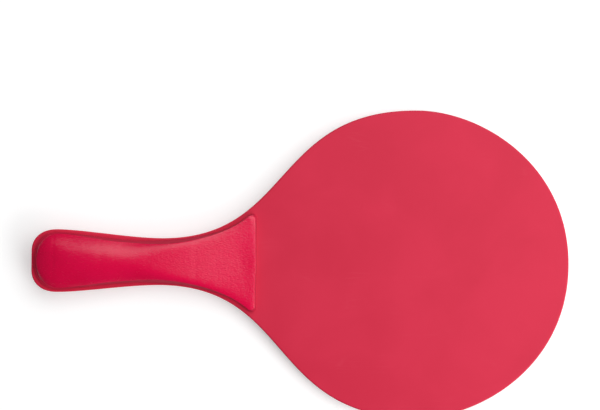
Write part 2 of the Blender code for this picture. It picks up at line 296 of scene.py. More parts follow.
class LoopModel:
    """A mesh that is drawn out of a circle, loop by loop, in edit mode."""

    def __init__(self, name: str, loop: np.ndarray) -> None:
        """Add a circle and lay it on the first loop.

        Args:
            name: Name of the new piece.
            loop: Points of the first loop, one per row.
        """
        bpy.ops.object.select_all(action="DESELECT")
        bpy.ops.mesh.primitive_circle_add(vertices=len(loop), radius=1.0)
        self.piece = bpy.context.active_object
        self.piece.name = self.piece.data.name = name
        for vertex, point in zip(self.piece.data.vertices, loop):
            vertex.co = point
        self.piece.data.attributes.new(MATTE_AND_SHADE, "FLOAT", "POINT")
        self.first = self.last = loop
        bpy.ops.object.mode_set(mode="EDIT")
        bpy.context.tool_settings.mesh_select_mode = (True, False, False)
        bpy.ops.mesh.select_all(action="SELECT")

    def draw_out(self, loops: list[np.ndarray], matte_and_shade: list[np.ndarray] | None = None) -> None:
        """Extrude the selected loop to each of the next ones in turn.

        Args:
            loops: The loops to pass through, with as many points as the first.
            matte_and_shade: How matte each point of each loop is, from 0 to 1, which the grip's
                material also paints darker as shade; nothing is if left out.
        """
        plain = [np.zeros(len(loop)) for loop in loops]
        for loop, matte in zip(loops, matte_and_shade or plain):
            finder = KDTree(len(self.last))
            for index, point in enumerate(self.last):
                finder.insert(point, index)
            finder.balance()
            bpy.ops.mesh.extrude_region_move(TRANSFORM_OT_translate={"value": (0.0, 0.0, 0.0)})
            mesh = bmesh.from_edit_mesh(self.piece.data)
            layer = mesh.verts.layers.float[MATTE_AND_SHADE]
            for vertex in mesh.verts:
                if vertex.select:
                    index = finder.find(vertex.co)[1]
                    vertex.co = loop[index]
                    vertex[layer] = matte[index]
            bmesh.update_edit_mesh(self.piece.data)
            self.last = loop

    def back_to_first(self) -> None:
        """Select the first loop again, so that it can be drawn out the other way."""
        bpy.ops.mesh.select_all(action="DESELECT")
        mesh = bmesh.from_edit_mesh(self.piece.data)
        mesh.verts.ensure_lookup_table()
        for index in range(len(self.first)):
            mesh.verts[index].select = True
        mesh.select_flush(True)
        bmesh.update_edit_mesh(self.piece.data)
        self.last = self.first

    def finish(self, crease: float) -> Piece:
        """Merge doubles, turn the faces outwards and shade the mesh.

        Args:
            crease: Angle in degrees above which an edge stays sharp.

        Returns:
            The finished piece.
        """
        bpy.ops.mesh.select_all(action="SELECT")
        bpy.ops.mesh.remove_doubles(threshold=MERGE_DISTANCE)
        bpy.ops.mesh.normals_make_consistent(inside=False)
        bpy.ops.object.mode_set(mode="OBJECT")
        bpy.ops.object.shade_smooth_by_angle(angle=math.radians(crease))
        return self.piece


def attach(piece: Piece, node: str, material: Material) -> None:
    """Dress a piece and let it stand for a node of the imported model.

    Args:
        piece: The new piece.
        node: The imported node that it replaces.
        material: Its finish.
    """
    piece.data.materials.clear()
    piece.data.materials.append(material)
    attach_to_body(piece, BODY)
    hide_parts(node)


@dataclass
class Blade:
    """The blade: one flat moulded sheet whose edge is softly rounded all round."""

    plan: BladePlan
    thickness: float
    edge_band: float = 0.0010
    edge_drop: float = 0.0007
    edge_rings: int = 9
    support_band: float = 0.0008
    half_points: int = 430
    crease: float = 50.0
    name: str = "blade_moulding"

    def build(self) -> Piece:
        """Extrude the sheet from its outline and round its two rims by insets that rise.

        Returns:
            The finished piece.
        """
        flat_end = np.array(((self.plan.butt_x, 0.0),))
        half = spaced(np.vstack((flat_end, self.plan.half_edge())), self.half_points)
        half[0, 1] = half[-1, 1] = 0.0
        low = self.edge_drop - self.thickness / 2
        model = LoopModel(self.name, lifted(closed(half), low))
        bpy.ops.mesh.edge_face_add()
        bpy.ops.mesh.extrude_region_move(TRANSFORM_OT_translate={"value": (0.0, 0.0, -2.0 * low)})
        bpy.ops.mesh.select_all(action="SELECT")
        bpy.ops.mesh.normals_make_consistent(inside=False)
        for side in Side:
            self.round_rim(model.piece.data, side)
        return model.finish(self.crease)

    def round_rim(self, data: bpy.types.Mesh, side: Side) -> None:
        """Inset one broad face step by step along a quarter of an ellipse.

        Args:
            data: The mesh that is being edited.
            side: Which broad face to round.
        """
        bpy.context.tool_settings.mesh_select_mode = (False, False, True)
        bpy.ops.mesh.select_all(action="DESELECT")
        mesh = bmesh.from_edit_mesh(data)
        broad = max(mesh.faces, key=lambda face: face.normal.z * side.value * face.calc_area())
        broad.select = True
        mesh.faces.active = broad
        bmesh.update_edit_mesh(data)
        turns = quarter_turn(self.edge_rings + 1)
        insets = np.diff(self.edge_band * (1.0 - np.cos(turns)))
        rises = np.diff(self.edge_drop * np.sin(turns))
        for inset, rise in zip(insets, rises):
            bpy.ops.mesh.inset(thickness=float(inset), depth=float(rise))
        bpy.ops.mesh.inset(thickness=self.support_band, depth=0.0)

    def dress(self, piece: Piece, material: Material) -> None:
        """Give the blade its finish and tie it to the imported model."""
        attach(piece, "blade", material)


@dataclass
class GripShell:
    """A hollow half of the handle: a low rim on the tang, leaning side walls and a long dome.

    Heights are measured from the seat, and reaches from the butt end of the blade. The shell is
    modelled for the front of the tang, and its copy is turned over for the rear.
    """

    plan: GripPlan
    seat: float
    rise: float

    # Low rim, and the step from it in to the walls, which is widest at the butt.
    rim_height: float = 0.0012
    rim_step: float = 0.0009
    rim_round: float = 0.0003
    rim_rings: int = 5
    edge_step_share: float = 0.067
    step_reach: Span = (0.016, 0.040)

    # Side walls, which grow towards the fan and lean in. They, the rim and the butt's foot are
    # matte, and their colour is painted darker as shade.
    waist_reach: Span = (0.010, 0.050)
    waist_share: float = 0.40
    fan_reach: Span = (0.056, 0.090)
    fan_share: float = 0.80
    foot_draft: float = 0.0001
    wall_lean: float = 0.45
    wall_shoulder: float = 0.00004
    butt_reach: Span = (0.004, 0.020)
    butt_fade: float = 0.0012

    # Ridge from the butt over the peak to the front edge, and the crown that spans it.
    peak_reach: float = 0.044
    edge_height: float = 0.0036
    butt_pulls: Span = (0.10, 0.45)
    crown_pulls: tuple[float, float, float] = (0.55, 0.58, 0.30)
    crown_powers: Span = (2.0, 9.0)
    crown_slope: float = 0.76
    crown_steps: int = 400

    # Soft rounding of the straight front edge.
    front_band: float = 0.0026
    front_drop: float = 0.00012
    front_power: float = 2.5
    front_blend: float = 0.010

    # Hollow inside.
    wall: float = 0.0020
    side_wall: float = 0.0024

    # Marks of moulding: sinks over the ribs and the first pin, and a dent at the gate.
    sink_places: tuple[float, ...] = (0.014, 0.04307, 0.07213, 0.1012)
    sink_depth: float = 0.00005
    sink_width: float = 0.0011
    pin_sink_width: float = 0.0022
    gate_setback: float = 0.0085
    gate_spread: Span = (0.0055, 0.0085)
    gate_depth: float = 0.0002

    # Mesh: the rings close on a spine that stops short of both ends.
    spine_setback: float = 0.014
    dome_rings: int = 44
    hollow_rings: int = 14
    crease: float = 28.0

    crown: np.ndarray = field(init=False, repr=False)
    foot_edge: np.ndarray = field(init=False, repr=False)
    crown_edge: np.ndarray = field(init=False, repr=False)
    hollow_edge: np.ndarray = field(init=False, repr=False)

    def __post_init__(self) -> None:
        """Draw the ridge line and the edges of the walls' foot, the crown and the hollow."""
        self.crown = self.crown_line()
        outer = self.plan.half_edge(0.0)
        inward = self.plan.half_edge(self.rim_step) - outer
        share = self.step_share(outer)
        sideways = np.abs(inward[:, 1]) / np.hypot(*inward.T)
        draft = self.foot_draft + self.wall_lean * sideways * self.side_rise(outer[:, 0])
        self.foot_edge = outer + inward * share[:, None]
        self.crown_edge = outer + inward * (share + draft / self.rim_step)[:, None]
        self.hollow_edge = self.plan.half_edge(self.side_wall)

    def along(self, x: np.ndarray, reach: Span) -> np.ndarray:
        """Ease from 0 to 1 along the handle, between two distances from the butt."""
        butt_x = self.plan.blade.butt_x
        return smooth_share(x, butt_x + reach[0], butt_x + reach[1])

    def step_share(self, line: np.ndarray) -> np.ndarray:
        """Return how much of the rim's step each point of an edge has: all of it at the butt."""
        faded = self.along(line[:, 0], self.step_reach)
        return 1.0 - (1.0 - self.edge_step_share) * faded

    def crown_line(self) -> np.ndarray:
        """Draw the ridge from the butt over the peak to the straight front edge.

        Returns:
            Points of the ridge as x and height above the seat, without the rounding of the edge.
        """
        end = np.array((self.plan.end_x, self.rim_height))
        peak = np.array((self.plan.blade.butt_x + self.peak_reach, self.rise))
        edge = np.array((self.plan.fan_x, self.edge_height))
        arrive, leave, settle = self.crown_pulls
        return chain(
            curve(end, peak, self.butt_pulls, (arrive, 0.0), self.crown_steps),
            curve(peak, edge, (leave, 0.0), (settle, 0.0), self.crown_steps),
        )

    def side_rise(self, x: np.ndarray) -> np.ndarray:
        """Find how far the side wall rises above the rim: not at the butt, most at the fan.

        Args:
            x: Places along the handle.

        Returns:
            The rises.
        """
        share = self.waist_share * self.along(x, self.waist_reach)
        share = share + (self.fan_share - self.waist_share) * self.along(x, self.fan_reach)
        return share * (np.interp(x, self.crown[:, 0], self.crown[:, 1]) - self.rim_height)

    def crowned(self, points: np.ndarray, edge: np.ndarray) -> np.ndarray:
        """Find the height of the crown over points of the plan, without the drop at its edge.

        Args:
            points: Points of the plan, one per row.
            edge: Left half of the edge that the crown spans.

        Returns:
            The heights above the seat.
        """
        x = points[:, 0]
        rounded = edge[: -self.plan.edge_steps]
        half = np.interp(x, rounded[:, 0], rounded[:, 1])
        across = np.clip(np.abs(points[:, 1]) / np.maximum(half, LEAST_DIVISOR), 0.0, 1.0)
        base = self.rim_height + self.side_rise(x)
        rise = np.interp(x, self.crown[:, 0], self.crown[:, 1]) - base
        steepness = self.crown_slope * half / np.maximum(rise, LEAST_DIVISOR)
        return base + rise * (1.0 - across ** np.clip(steepness, *self.crown_powers))

    def front_rounding(self, points: np.ndarray) -> np.ndarray:
        """Find how far the skin has dropped below the crown at the straight front edge.

        Args:
            points: Points of the plan, one per row.

        Returns:
            The drops, nothing further in and along the sides.
        """
        distance, edge_x = nearest_on(closed(self.crown_edge), points)
        past = np.clip(1.0 - distance / self.front_band, 0.0, 1.0)
        share = smooth_share(edge_x, self.plan.fan_x - self.front_blend, self.crown_edge[-1, 0])
        return self.front_drop * past**self.front_power * share

    def sinks(self, points: np.ndarray) -> np.ndarray:
        """Find how far the skin has sunk over the cross ribs, the butt's pin and the gate.

        Args:
            points: Points of the plan, one per row.

        Returns:
            The depths.
        """
        reach = points[:, 0] - self.plan.blade.butt_x
        depth = np.zeros(len(points))
        for place in self.sink_places:
            depth += self.sink_depth * np.exp(-(((reach - place) / self.sink_width) ** 2))
        pin = np.hypot(reach - self.sink_places[0], points[:, 1])
        depth += self.sink_depth * np.exp(-((pin / self.pin_sink_width) ** 2))
        gate = (points - (self.plan.fan_x - self.gate_setback, 0.0)) / self.gate_spread
        return depth + self.gate_depth * np.exp(-(gate**2).sum(axis=1))

    def outside(self, points: np.ndarray) -> np.ndarray:
        """Return the height of the shell's skin above the seat."""
        crown = self.crowned(points, self.crown_edge) - self.sinks(points)
        return np.maximum(self.rim_height, crown - self.front_rounding(points))

    def inside(self, points: np.ndarray) -> np.ndarray:
        """Return the height of the hollow's roof above the seat."""
        return np.maximum(0.0, self.crowned(points, self.hollow_edge) - self.wall)

    def placed(self, line: np.ndarray, height: float | np.ndarray) -> np.ndarray:
        """Lift a closed line to a height above the seat."""
        return lifted(line, self.seat + height)

    def drawn_in(self, edge: np.ndarray, count: int) -> list[np.ndarray]:
        """Draw an edge in to the spine on the centre line, ring by ring.

        Args:
            edge: The closed edge.
            count: Number of rings, the edge and the spine included.

        Returns:
            The rings, closer together near the edge.
        """
        first = self.plan.end_x + self.spine_setback
        last = self.plan.fan_x - self.spine_setback
        spine = np.column_stack((np.clip(edge[:, 0], first, last), np.zeros(len(edge))))
        return [spine + (edge - spine) * math.cos(turn) for turn in quarter_turn(count)]

    def rim_loops(self) -> list[np.ndarray]:
        """Draw the low rim with its rounded top.

        Returns:
            The loops from the outside up and in.
        """
        outer = closed(self.plan.half_edge(0.0))
        inward = closed(self.plan.half_edge(self.rim_step)) - outer
        share = self.step_share(outer)[:, None] * self.rim_round / self.rim_step
        loops = []
        for turn in quarter_turn(self.rim_rings):
            line = outer + inward * share * (1.0 - math.cos(turn))
            drop = self.rim_round * (1.0 - math.sin(turn))
            loops.append(self.placed(line, self.rim_height - drop))
        return loops

    def build(self) -> Piece:
        """Draw the front shell out of its seat: rim, walls and dome, then the hollow inside.

        Returns:
            The finished piece.
        """
        edge = closed(self.crown_edge)
        shoulder = np.maximum(self.rim_height, self.outside(edge) - self.wall_shoulder)
        foot = self.placed(closed(self.foot_edge), self.rim_height)
        border = self.rim_loops() + [foot, self.placed(edge, shoulder)]
        rings = self.drawn_in(edge, self.dome_rings)
        skin = [self.placed(ring, self.outside(ring)) for ring in rings]
        # The rim, the walls and the dome's foot near the butt are marked matte, and the grip's
        # material paints them darker as shade.
        matte_and_shade = [np.ones(len(edge)) for _ in border]
        butt_share = 1.0 - self.along(edge[:, 0], self.butt_reach)
        for ring in rings:
            gap = np.hypot(*(edge - ring).T)
            matte_and_shade.append(butt_share * np.clip(1.0 - gap / self.butt_fade, 0.0, 1.0))
        roof_edge = closed(self.hollow_edge)
        roof = [self.placed(ring, self.inside(ring))
                for ring in self.drawn_in(roof_edge, self.hollow_rings)]
        seat_edge = self.placed(closed(self.plan.half_edge(0.0)), 0.0)
        model = LoopModel("front_grip_shell", seat_edge)
        model.draw_out(border + skin, matte_and_shade)
        model.back_to_first()
        model.draw_out([self.placed(roof_edge, 0.0)] + roof)
        return model.finish(self.crease)

    def turned_over(self, front: Piece) -> Piece:
        """Copy the front shell, with its own mesh, and turn the copy over to the rear.

        Args:
            front: The finished front shell.

        Returns:
            The rear shell.
        """
        bpy.ops.object.select_all(action="DESELECT")
        front.select_set(True)
        bpy.context.view_layer.objects.active = front
        bpy.ops.object.duplicate()
        rear = bpy.context.active_object
        rear.name = rear.data.name = "rear_grip_shell"
        rear.data.transform(HALF_TURN)
        return rear

    def dress(self, piece: Piece, side: Side, material: Material) -> None:
        """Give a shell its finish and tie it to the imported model."""
        attach(piece, f"{side.name.lower()}_grip", material)


class NodeSheet:
    """A node tree with short calls to add nodes and join their sockets."""

    def __init__(self, tree: bpy.types.NodeTree) -> None:
        """Keep the tree, emptied of what it came with."""
        self.tree = tree
        self.tree.nodes.clear()

    def feed(self, node: bpy.types.Node, values: dict) -> None:
        """Fill the inputs of a node.

        Args:
            node: The node.
            values: Values or source sockets for its inputs, by name or by number.
        """
        for key, value in values.items():
            if isinstance(value, Socket):
                self.tree.links.new(value, node.inputs[key])
            else:
                node.inputs[key].default_value = value

    def add(self, kind: str, values: dict | None = None, **settings: object) -> bpy.types.Node:
        """Add a node.

        Args:
            kind: Type of the node.
            values: Values or source sockets for its inputs, by name or by number.
            settings: Properties of the node.

        Returns:
            The new node.
        """
        node = self.tree.nodes.new(kind)
        for key, setting in settings.items():
            setattr(node, key, setting)
        self.feed(node, values or {})
        return node

    def place(self) -> Socket:
        """Return the place on the piece, in its Object coordinates."""
        return self.add("ShaderNodeTexCoord").outputs["Object"]

    def maths(self, operation: str, *values: object) -> Socket:
        """Add a Math node and return its result."""
        inputs = dict(enumerate(values))
        return self.add("ShaderNodeMath", inputs, operation=operation).outputs[0]

    def noise(self, vector: Socket, scale: object, **shape: float) -> Socket:
        """Add a noise texture.

        Args:
            vector: Where it is looked up.
            scale: How fine it is.
            shape: Its detail, roughness and distortion, where they aren't the usual ones.

        Returns:
            The value of the noise.
        """
        inputs = {"Vector": vector, "Scale": scale}
        inputs.update({key.title(): value for key, value in shape.items()})
        return self.add("ShaderNodeTexNoise", inputs).outputs["Fac"]

    def ease(self, value: Socket, span: Span, results: Span = (0.0, 1.0)) -> Socket:
        """Map a value smoothly from one range to another.

        Args:
            value: The value.
            span: Start and end of its range.
            results: Results at the start and at the end.

        Returns:
            The mapped value.
        """
        inputs = {"Value": value, "From Min": span[0], "From Max": span[1],
                  "To Min": results[0], "To Max": results[1]}
        node = self.add("ShaderNodeMapRange", inputs, interpolation_type="SMOOTHSTEP")
        return node.outputs["Result"]

    def blend(self, share: object, first: object, second: object) -> Socket:
        """Mix two colours by a share and return the mixed colour."""
        node = self.add("ShaderNodeMix", {0: share, 6: first, 7: second}, data_type="RGBA")
        return node.outputs[2]

    def group(self, tree: bpy.types.NodeTree, values: dict) -> bpy.types.NodeOutputs:
        """Place a node group with its own values and return its outputs."""
        return self.add("ShaderNodeGroup", values, node_tree=tree).outputs


def opened(holder: Material | bpy.types.World) -> NodeSheet:
    """Turn on the nodes of a material or a world and return their sheet, emptied."""
    holder.use_nodes = True
    return NodeSheet(holder.node_tree)


def group_sheet(
    name: str, inputs: dict[str, str], outputs: dict[str, str]
) -> tuple[NodeSheet, bpy.types.NodeOutputs, bpy.types.Node]:
    """Start a shader node group.

    Args:
        name: Name of the group.
        inputs: Kinds of its input sockets by name.
        outputs: Kinds of its output sockets by name.

    Returns:
        The group's sheet, what it is given and its output node.
    """
    tree = bpy.data.node_groups.new(name, "ShaderNodeTree")
    for way, sockets in (("INPUT", inputs), ("OUTPUT", outputs)):
        for socket, kind in sockets.items():
            tree.interface.new_socket(socket, in_out=way, socket_type=f"NodeSocket{kind}")
    sheet = NodeSheet(tree)
    return sheet, sheet.add("NodeGroupInput").outputs, sheet.add("NodeGroupOutput")


@dataclass
class Effects:
    """Surface effects that both plastics share, each a node group built once."""

    spot_scale: float = 0.55
    spot_range: Span = (0.50, 0.68)
    cloud_range: Span = (0.32, 0.68)
    hair_turns: Span = (0.5, -0.35)
    hair_offsets: Span = (0.3, 1.7)
    hair_squeeze: float = 0.07
    hair_width: float = 0.03
    worn_scale: float = 42.0
    worn_range: Span = (0.55, 0.75)

    @cached_property
    def grain(self) -> bpy.types.NodeTree:
        """Build the grain that a blasted mould leaves on a plastic skin.

        Returns:
            The group, with a height and a mask of small matte spots.
        """
        sheet, given, out = group_sheet(
            "moulded_grain", {"Grain Size": "Float", "Stretch": "Float"},
            {"Height": "Float", "Spots": "Float"})
        size = given["Grain Size"]
        long_size = sheet.maths("MULTIPLY", size, given["Stretch"])
        cell = sheet.add("ShaderNodeCombineXYZ", {"X": long_size, "Y": size, "Z": size})
        scaled = sheet.add("ShaderNodeVectorMath", {0: sheet.place(), 1: cell.outputs[0]},
                           operation="DIVIDE").outputs[0]
        fine = sheet.noise(scaled, 1.0, detail=1.0)
        coarse = sheet.noise(scaled, self.spot_scale, detail=4.0, roughness=0.65)
        sheet.feed(out, {"Height": fine, "Spots": sheet.ease(coarse, self.spot_range)})
        return sheet.tree

    @cached_property
    def clouds(self) -> bpy.types.NodeTree:
        """Build the soft clouds of a pigment that isn't mixed quite evenly.

        Returns:
            The group, with a colour and the share of clouds in it.
        """
        sheet, given, out = group_sheet(
            "cloudy_pigment", {"Colour": "Color", "Cloud Colour": "Color", "Cloud Size": "Float",
                               "Amount": "Float"}, {"Colour": "Color", "Clouds": "Float"})
        scale = sheet.maths("DIVIDE", 1.0, given["Cloud Size"])
        noise = sheet.noise(sheet.place(), scale, detail=3.0, distortion=0.4)
        clouds = sheet.ease(noise, self.cloud_range)
        share = sheet.maths("MULTIPLY", clouds, given["Amount"])
        colour = sheet.blend(share, given["Colour"], given["Cloud Colour"])
        sheet.feed(out, {"Colour": colour, "Clouds": clouds})
        return sheet.tree

    @cached_property
    def marks(self) -> bpy.types.NodeTree:
        """Build the faint hairlines and scuffs that handling leaves.

        Returns:
            The group, with a mask of the marks.
        """
        sheet, given, out = group_sheet(
            "handling_marks", {"Spacing": "Float", "Amount": "Float"}, {"Marks": "Float"})
        place = sheet.place()
        scale = sheet.maths("DIVIDE", 1.0, given["Spacing"])
        hairs = []
        for turn, offset in zip(self.hair_turns, self.hair_offsets):
            turned = sheet.add("ShaderNodeMapping", {
                "Vector": place, "Location": (offset, offset, 0.0),
                "Rotation": (0.0, 0.0, turn), "Scale": (self.hair_squeeze, 1.0, 1.0)})
            cells = {"Vector": turned.outputs[0], "Scale": scale}
            edges = sheet.add("ShaderNodeTexVoronoi", cells, feature="DISTANCE_TO_EDGE")
            hairs.append(sheet.ease(edges.outputs["Distance"], (0.0, self.hair_width), (1.0, 0.0)))
        patches = sheet.noise(place, self.worn_scale, detail=2.0)
        worn = sheet.ease(patches, self.worn_range)
        marks = sheet.maths("MULTIPLY", sheet.maths("MAXIMUM", *hairs), worn)
        sheet.feed(out, {"Marks": sheet.maths("MULTIPLY", marks, given["Amount"])})
        return sheet.tree


@dataclass(frozen=True)
class Skin:
    """A material that has been started: its nodes and what the shared effects give it."""

    material: Material
    sheet: NodeSheet
    pigment: Socket
    clouds: Socket
    spots: Socket
    relief: Socket
    marks: Socket


@dataclass(frozen=True)
class Plastic:
    """What both plastics have in common: cloudy pigment, moulded grain and handling marks."""

    name: str
    colour: Colour
    cloud_colour: Colour
    cloud_size: float
    grain_size: float
    grain_stretch: float
    grain_strength: float
    grain_depth: float
    mark_spacing: float
    mark_amount: float
    roughness: float
    shine: float
    cloud_amount: float = 0.8

    def start(self, effects: Effects) -> Skin:
        """Start the material and place the shared effects in it.

        Args:
            effects: The shared surface effects.

        Returns:
            The started material.
        """
        made = bpy.data.materials.new(self.name)
        sheet = opened(made)
        clouds = sheet.group(effects.clouds, {
            "Colour": self.colour, "Cloud Colour": self.cloud_colour,
            "Cloud Size": self.cloud_size, "Amount": self.cloud_amount})
        grain = sheet.group(effects.grain, {"Grain Size": self.grain_size,
                                            "Stretch": self.grain_stretch})
        marks = sheet.group(effects.marks, {"Spacing": self.mark_spacing,
                                            "Amount": self.mark_amount})
        return Skin(made, sheet, clouds["Colour"], clouds["Clouds"], grain["Spots"],
                    grain["Height"], marks["Marks"])

    def finish(self, skin: Skin, colour: Socket, rough: Socket, relief: Socket) -> Material:
        """Close the material with its shader.

        Args:
            skin: The started material.
            colour: Its colour.
            rough: Its roughness.
            relief: Height of its grain.

        Returns:
            The material.
        """
        sheet = skin.sheet
        bump = sheet.add("ShaderNodeBump", {"Height": relief, "Strength": self.grain_strength,
                                            "Distance": self.grain_depth})
        shader = sheet.add("ShaderNodeBsdfPrincipled", {
            "Base Color": colour, "Roughness": rough, "Normal": bump.outputs["Normal"],
            "Specular IOR Level": self.shine})
        sheet.add("ShaderNodeOutputMaterial", {"Surface": shader.outputs[0]})
        return skin.material


@dataclass(frozen=True)
class BladePlastic(Plastic):
    """Matte red plastic of the blade, faintly clouded, with a fine even grain, a painted highlight
    on its rim and painted light on its tang.
    """

    name: str = "matte_red_plastic"
    colour: Colour = (0.525, 0.009, 0.041, 1.0)
    cloud_colour: Colour = (0.565, 0.014, 0.050, 1.0)
    # Paler colour of the rim's painted highlight and of real handling wear.
    rim_highlight_and_wear_colour: Colour = (0.57, 0.030, 0.066, 1.0)
    # Painted light: the brighter colour of the bare tang, which lifts the shade that the grip
    # shells cast on it.
    tang_light_colour: Colour = (0.64, 0.008, 0.046, 1.0)
    cloud_size: float = 0.045
    grain_size: float = 0.0007
    grain_stretch: float = 1.0
    grain_strength: float = 0.5
    grain_depth: float = 0.00006
    mark_spacing: float = 0.006
    mark_amount: float = 0.5
    roughness: float = 0.52
    shine: float = 0.30
    spot_share: float = 0.10
    rim_depths: Span = (0.0002, 0.0009)
    rim_highlight: float = 0.35
    highlight_and_wear_share: float = 0.6
    tang_light_fade: Span = (-0.016, 0.004)
    cloud_dulling: float = 0.05
    spot_dulling: float = 0.05
    worn_polish: float = 0.08

    def material(self, effects: Effects, half_thickness: float, tang_x: float) -> Material:
        """Build the finish.

        Args:
            effects: The shared surface effects.
            half_thickness: Height of the flat faces above the sheet's mid plane.
            tang_x: Place where the tang comes out from between the grips.

        Returns:
            The material.
        """
        skin = self.start(effects)
        sheet = skin.sheet
        along = sheet.add("ShaderNodeSeparateXYZ", {0: sheet.place()}).outputs
        depth = sheet.maths("SUBTRACT", half_thickness, sheet.maths("ABSOLUTE", along["Z"]))
        # Painted highlight on the rounded rim, and real wear from the handling marks: both paint
        # the colour paler and a little smoother.
        rim = sheet.maths("MULTIPLY", sheet.ease(depth, self.rim_depths), self.rim_highlight)
        worn = sheet.maths("MAXIMUM", rim, skin.marks)
        spots = sheet.maths("MULTIPLY", skin.spots, self.spot_share)
        colour = sheet.blend(spots, skin.pigment, self.cloud_colour)
        highlight_and_wear_share = sheet.maths("MULTIPLY", worn, self.highlight_and_wear_share)
        colour = sheet.blend(highlight_and_wear_share, colour, self.rim_highlight_and_wear_colour)
        # Painted light: the tang is painted brighter than the head, fading out just past the
        # grips' front edge.
        fade = (tang_x + self.tang_light_fade[0], tang_x + self.tang_light_fade[1])
        tang = sheet.ease(along["X"], fade, (1.0, 0.0))
        colour = sheet.blend(tang, colour, self.tang_light_colour)
        rough = sheet.maths("MULTIPLY_ADD", skin.clouds, self.cloud_dulling, self.roughness)
        rough = sheet.maths("MULTIPLY_ADD", skin.spots, self.spot_dulling, rough)
        rough = sheet.maths("MULTIPLY_ADD", worn, -self.worn_polish, rough)
        return self.finish(skin, colour, rough, skin.relief)


@dataclass(frozen=True)
class GripPlastic(Plastic):
    """Satin red plastic of the grip shells: lengthwise grain, streaks at the gate, matte walls
    with painted shade.
    """

    name: str = "satin_red_plastic"
    colour: Colour = (0.66, 0.000, 0.048, 1.0)
    cloud_colour: Colour = (0.68, 0.001, 0.055, 1.0)
    streak_colour: Colour = (0.60, 0.000, 0.036, 1.0)
    # Painted shade: the darker colour of the rim, the walls and the butt's foot.
    wall_shade_colour: Colour = (0.45, 0.000, 0.031, 1.0)
    cloud_size: float = 0.018
    grain_size: float = 0.0005
    grain_stretch: float = 3.0
    grain_strength: float = 1.0
    grain_depth: float = 0.00012
    grain_heights: Span = (0.0042, 0.0055)
    mark_spacing: float = 0.004
    mark_amount: float = 0.6
    roughness: float = 0.22
    wall_roughness: float = 1.0
    shine: float = 0.50
    spot_share: float = 0.35
    spot_dulling: float = 0.20
    mark_dulling: float = 0.12
    streak_scale: tuple[float, float, float] = (220.0, 1100.0, 300.0)
    streak_range: Span = (0.52, 0.70)
    streak_reach: Span = (0.004, 0.020)
    streak_amount: float = 0.7

    def material(self, effects: Effects, gate_x: float) -> Material:
        """Build the finish.

        Args:
            effects: The shared surface effects.
            gate_x: Place of the straight front edge, where the melt came in.

        Returns:
            The material.
        """
        skin = self.start(effects)
        sheet = skin.sheet
        spots = sheet.maths("MULTIPLY", skin.spots, self.spot_share)
        dull = sheet.maths("MAXIMUM", spots, self.gate_streaks(sheet, gate_x))
        colour = sheet.blend(dull, skin.pigment, self.streak_colour)
        rough = sheet.maths("MULTIPLY_ADD", dull, self.spot_dulling, self.roughness)
        rough = sheet.maths("MULTIPLY_ADD", skin.marks, self.mark_dulling, rough)
        # The matte attribute marks the rim, walls and butt's foot: their colour is painted darker
        # as shade, and they are made matte.
        matte = sheet.add("ShaderNodeAttribute", attribute_name=MATTE_AND_SHADE).outputs["Fac"]
        colour = sheet.blend(matte, colour, self.wall_shade_colour)
        rough = sheet.maths("MAXIMUM", rough, sheet.maths("MULTIPLY", matte, self.wall_roughness))
        height = sheet.add("ShaderNodeSeparateXYZ", {0: sheet.place()}).outputs["Z"]
        grained = sheet.ease(sheet.maths("ABSOLUTE", height), self.grain_heights)
        grained = sheet.maths("MULTIPLY", grained, sheet.maths("SUBTRACT", 1.0, matte))
        relief = sheet.maths("MULTIPLY", skin.relief, grained)
        return self.finish(skin, colour, rough, relief)

    def gate_streaks(self, sheet: NodeSheet, gate_x: float) -> Socket:
        """Draw the flow streaks that fan out from the gate.

        Args:
            sheet: The material's nodes.
            gate_x: Place of the gate on the centre line.

        Returns:
            The mask of the streaks.
        """
        moved = sheet.add("ShaderNodeMapping", {"Vector": sheet.place(),
                                                "Location": (-gate_x, 0.0, 0.0)}).outputs[0]
        drawn = sheet.add("ShaderNodeMapping", {"Vector": moved,
                                                "Scale": self.streak_scale}).outputs[0]
        noise = sheet.noise(drawn, 1.0, detail=2.0, roughness=0.6)
        streaks = sheet.ease(noise, self.streak_range)
        reach = sheet.add("ShaderNodeVectorMath", {0: moved}, operation="LENGTH")
        near = sheet.ease(reach.outputs["Value"], self.streak_reach, (self.streak_amount, 0.0))
        return sheet.maths("MULTIPLY", streaks, near)


@dataclass(frozen=True)
class Softbox:
    """A flat studio lamp that faces the paddle."""

    name: str
    bearing: float
    lean: float
    distance: float
    size: Span
    brightness: float

    def build(self) -> None:
        """Place the lamp at its bearing from the tip's direction and its lean off the zenith."""
        turn, lean = math.radians(self.bearing), math.radians(self.lean)
        facing = (0.0, lean, turn)
        aim = Vector((math.sin(lean) * math.cos(turn), math.sin(lean) * math.sin(turn),
                      math.cos(lean)))
        bpy.ops.object.light_add(type="AREA", location=aim * self.distance, rotation=facing)
        lamp = bpy.context.active_object
        lamp.name = self.name
        lamp.data.shape = "RECTANGLE"
        lamp.data.size, lamp.data.size_y = self.size
        lamp.data.energy = self.brightness * math.pi * self.size[0] * self.size[1]
        lamp.visible_camera = False


